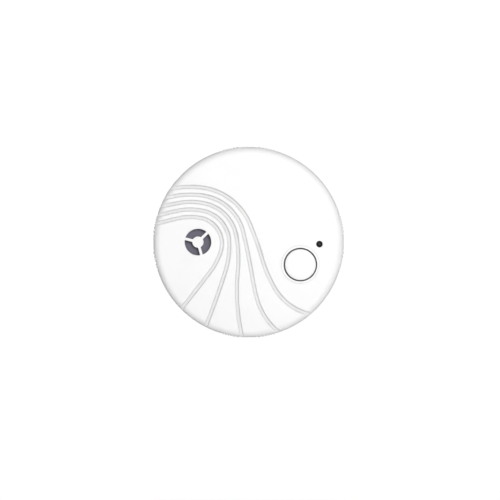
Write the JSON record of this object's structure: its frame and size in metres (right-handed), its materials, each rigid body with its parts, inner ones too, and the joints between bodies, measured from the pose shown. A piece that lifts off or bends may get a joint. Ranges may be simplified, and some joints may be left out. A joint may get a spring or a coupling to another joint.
{
  "type": "smoke detector",
  "caption": "Round wall or ceiling smoke detector: domed face with swooping grooves, test button, status light, spoked sounder opening, knurled rim and bayonet mounting plate.",
  "frame": {"origin": "centre of the mounting plate's back face, on the wall or ceiling", "axes": "-Y out of the wall, where the face looks; +Z up on a wall; +X to the viewer's right. For a ceiling, turn the part so that +Y points up."},
  "size_m": [0.101, 0.04, 0.101],
  "materials": {
    "cover_plastic": "fine moulded, satin",
    "button_plastic": "fine moulded, satin",
    "housing_plastic": "fine spark-eroded texture",
    "clear_plastic": "clear acrylic",
    "lamp_body": "moulded resin",
    "board_laminate": "solder mask over glass laminate",
    "chip_body": "moulded resin, tinned leads",
    "capacitor_can": "drawn can",
    "copper_wire": "enamelled winding",
    "component_body": "fired ceramic",
    "switch_body": "moulded",
    "plunger_plastic": "moulded",
    "chamber_plastic": "light-absorbing, moulded",
    "screen_mesh": "woven wire",
    "emitter_lens": "tinted resin",
    "photodiode_body": "dark resin",
    "tinned_steel": "tinned",
    "horn_plastic": "moulded",
    "piezo_brass": "rolled",
    "piezo_ceramic": "silvered ceramic",
    "contact_metal": "nickel-plated spring strip",
    "gasket_foam": "closed-cell foam",
    "cell_wrap": "plain shrink sleeve",
    "ribbon_fabric": "woven tape",
    "screw_steel": "zinc-plated"
  },
  "bodies": {
    "bracket": {"mounting_plate": "housing_plastic"},
    "detector": {"rear_housing": "housing_plastic", "front_cover": "cover_plastic", "light_pipe": "clear_plastic", "status_light": "lamp_body", "circuit_board": "board_laminate", "controller_chip": "chip_body", "capacitors": "capacitor_can", "sounder_coil": "copper_wire", "board_components": "component_body", "test_switch": "switch_body", "chamber_base": "chamber_plastic", "chamber_lid": "chamber_plastic", "insect_screen": "screen_mesh", "infrared_emitter": "emitter_lens", "photodiode": "photodiode_body", "photodiode_shield": "tinned_steel", "sounder_horn": "horn_plastic", "piezo_plate": "piezo_brass", "piezo_ceramic": "piezo_ceramic", "piezo_contacts": "contact_metal", "sounder_gasket": "gasket_foam", "battery_cell": "cell_wrap", "battery_contact_plus": "contact_metal", "battery_contact_minus": "contact_metal", "battery_ribbon": "ribbon_fabric", "housing_screws": "screw_steel", "board_screws": "screw_steel"},
    "button": {"test_button": "button_plastic"},
    "plunger": {"switch_plunger": "plunger_plastic"}
  },
  "joints": [
    {"name": "bayonet_twist", "type": "hinge", "parent": "bracket", "child": "detector", "pos_m": [0, 0, 0], "axis": [0, -1, 0], "range_deg": [0, 20]},
    {"name": "button_press", "type": "slide", "parent": "detector", "child": "button", "axis": [0, 1, 0], "range_m": [0, 0.0008], "stiffness_N_per_m": 1500, "springref_m": -0.0004},
    {"name": "plunger_press", "type": "slide", "parent": "detector", "child": "plunger", "axis": [0, 1, 0], "range_m": [0, 0.0008]}
  ],
  "couplings": [
    {"joint": "plunger_press", "follows": "button_press", "ratio": 1}
  ]
}
